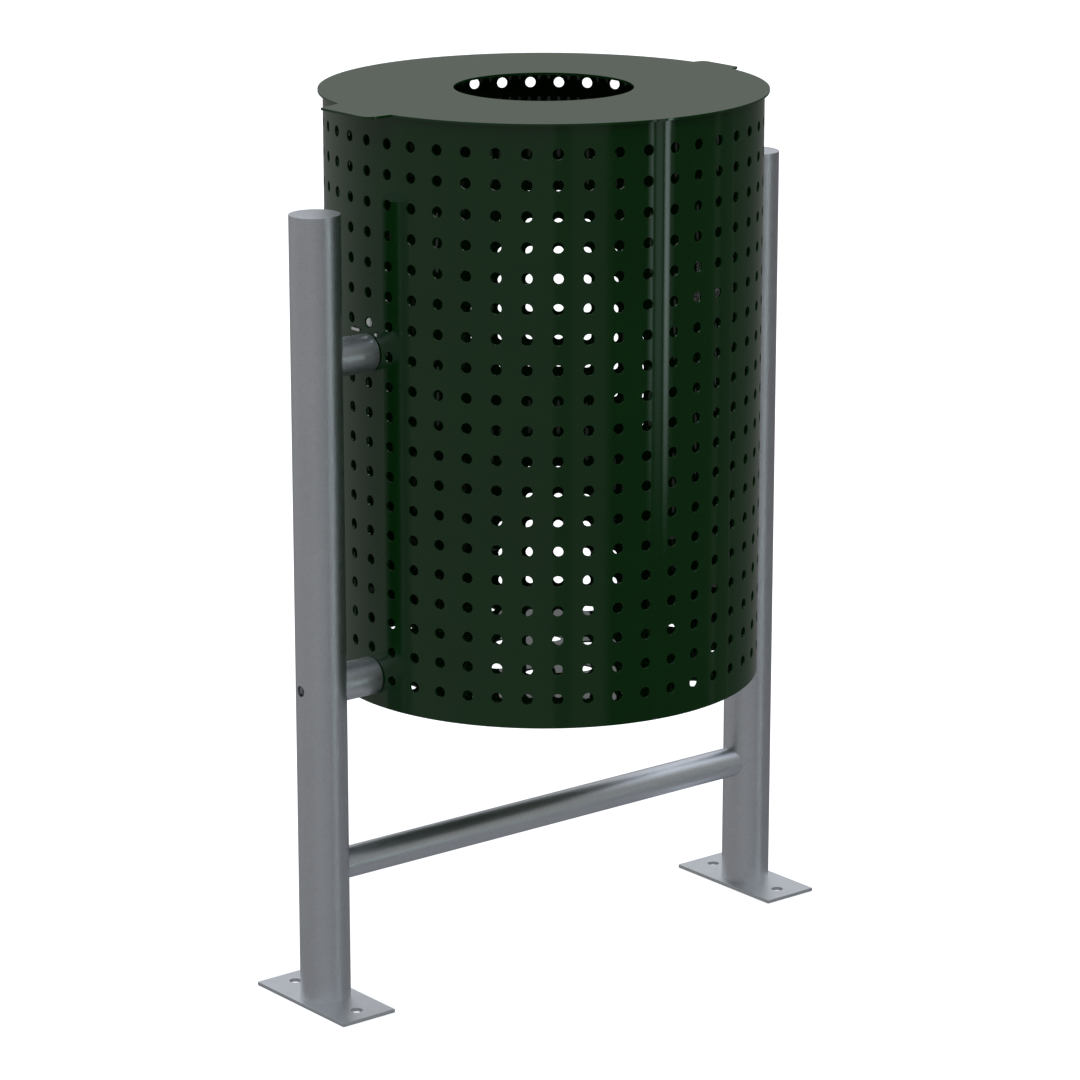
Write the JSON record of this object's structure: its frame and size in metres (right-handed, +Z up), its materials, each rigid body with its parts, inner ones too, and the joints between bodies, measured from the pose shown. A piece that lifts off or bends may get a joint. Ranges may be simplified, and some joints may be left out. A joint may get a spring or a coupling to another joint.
{
  "type": "litter bin",
  "caption": "Tilting street litter bin: a perforated round drum with a flat lift-off lid hung between posts on foot plates, with a key-operated bolt",
  "frame": {"origin": "on the ground, midway between the two posts", "axes": "+Z up, +X from the post with the lock to the other post, -Y the side the drum tips towards"},
  "size_m": [0.629, 0.45, 0.9],
  "materials": {
    "galvanised_steel": "satin",
    "green_paint": "gloss",
    "zinc_plated_steel": "satin",
    "black_nylon": "matt"
  },
  "bodies": {
    "frame": {"left_post": "galvanised_steel", "left_post_cap": "galvanised_steel", "left_base_plate": "galvanised_steel", "left_upper_stub": "galvanised_steel", "left_lower_stub": "galvanised_steel", "left_pivot_plug": "zinc_plated_steel", "left_pivot_pin": "zinc_plated_steel", "left_pivot_washer": "zinc_plated_steel", "right_post": "galvanised_steel", "right_post_cap": "galvanised_steel", "right_base_plate": "galvanised_steel", "right_upper_stub": "galvanised_steel", "right_lower_stub": "galvanised_steel", "right_pivot_plug": "zinc_plated_steel", "right_pivot_pin": "zinc_plated_steel", "right_pivot_washer": "zinc_plated_steel", "crossbar": "galvanised_steel", "right_stub_plug": "zinc_plated_steel", "lock_housing": "zinc_plated_steel", "lock_guide": "zinc_plated_steel"},
    "drum": {"drum_shell": "green_paint", "drum_floor": "green_paint", "left_pivot_bracket": "galvanised_steel", "right_pivot_bracket": "galvanised_steel", "left_pivot_bush": "black_nylon", "right_pivot_bush": "black_nylon", "lock_keeper": "green_paint"},
    "lid": {"lid_plate": "green_paint", "lid_ring": "green_paint"},
    "lock_spindle_set": {"lock_spindle": "zinc_plated_steel", "lock_cross_pin": "zinc_plated_steel"},
    "lock_bolt_set": {"lock_bolt": "zinc_plated_steel"}
  },
  "joints": [
    {"name": "drum_tilt", "type": "hinge", "parent": "frame", "child": "drum", "pos_m": [0, 0, 0.66], "axis": [1, 0, 0], "range_deg": [0, 135]},
    {"name": "lid_lift", "type": "slide", "parent": "drum", "child": "lid", "axis": [0, 0, 1], "range_m": [0, 0.08]},
    {"name": "lock_turn", "type": "hinge", "parent": "frame", "child": "lock_spindle_set", "pos_m": [-0.25, 0, 0.33], "axis": [1, 0, 0], "range_deg": [0, 90]},
    {"name": "lock_bolt_slide", "type": "slide", "parent": "frame", "child": "lock_bolt_set", "axis": [1, 0, 0], "range_m": [-0.009, 0.0005]}
  ],
  "couplings": [
    {"joint": "lock_bolt_slide", "follows": "lock_turn", "m_per_rad": -0.005092}
  ]
}
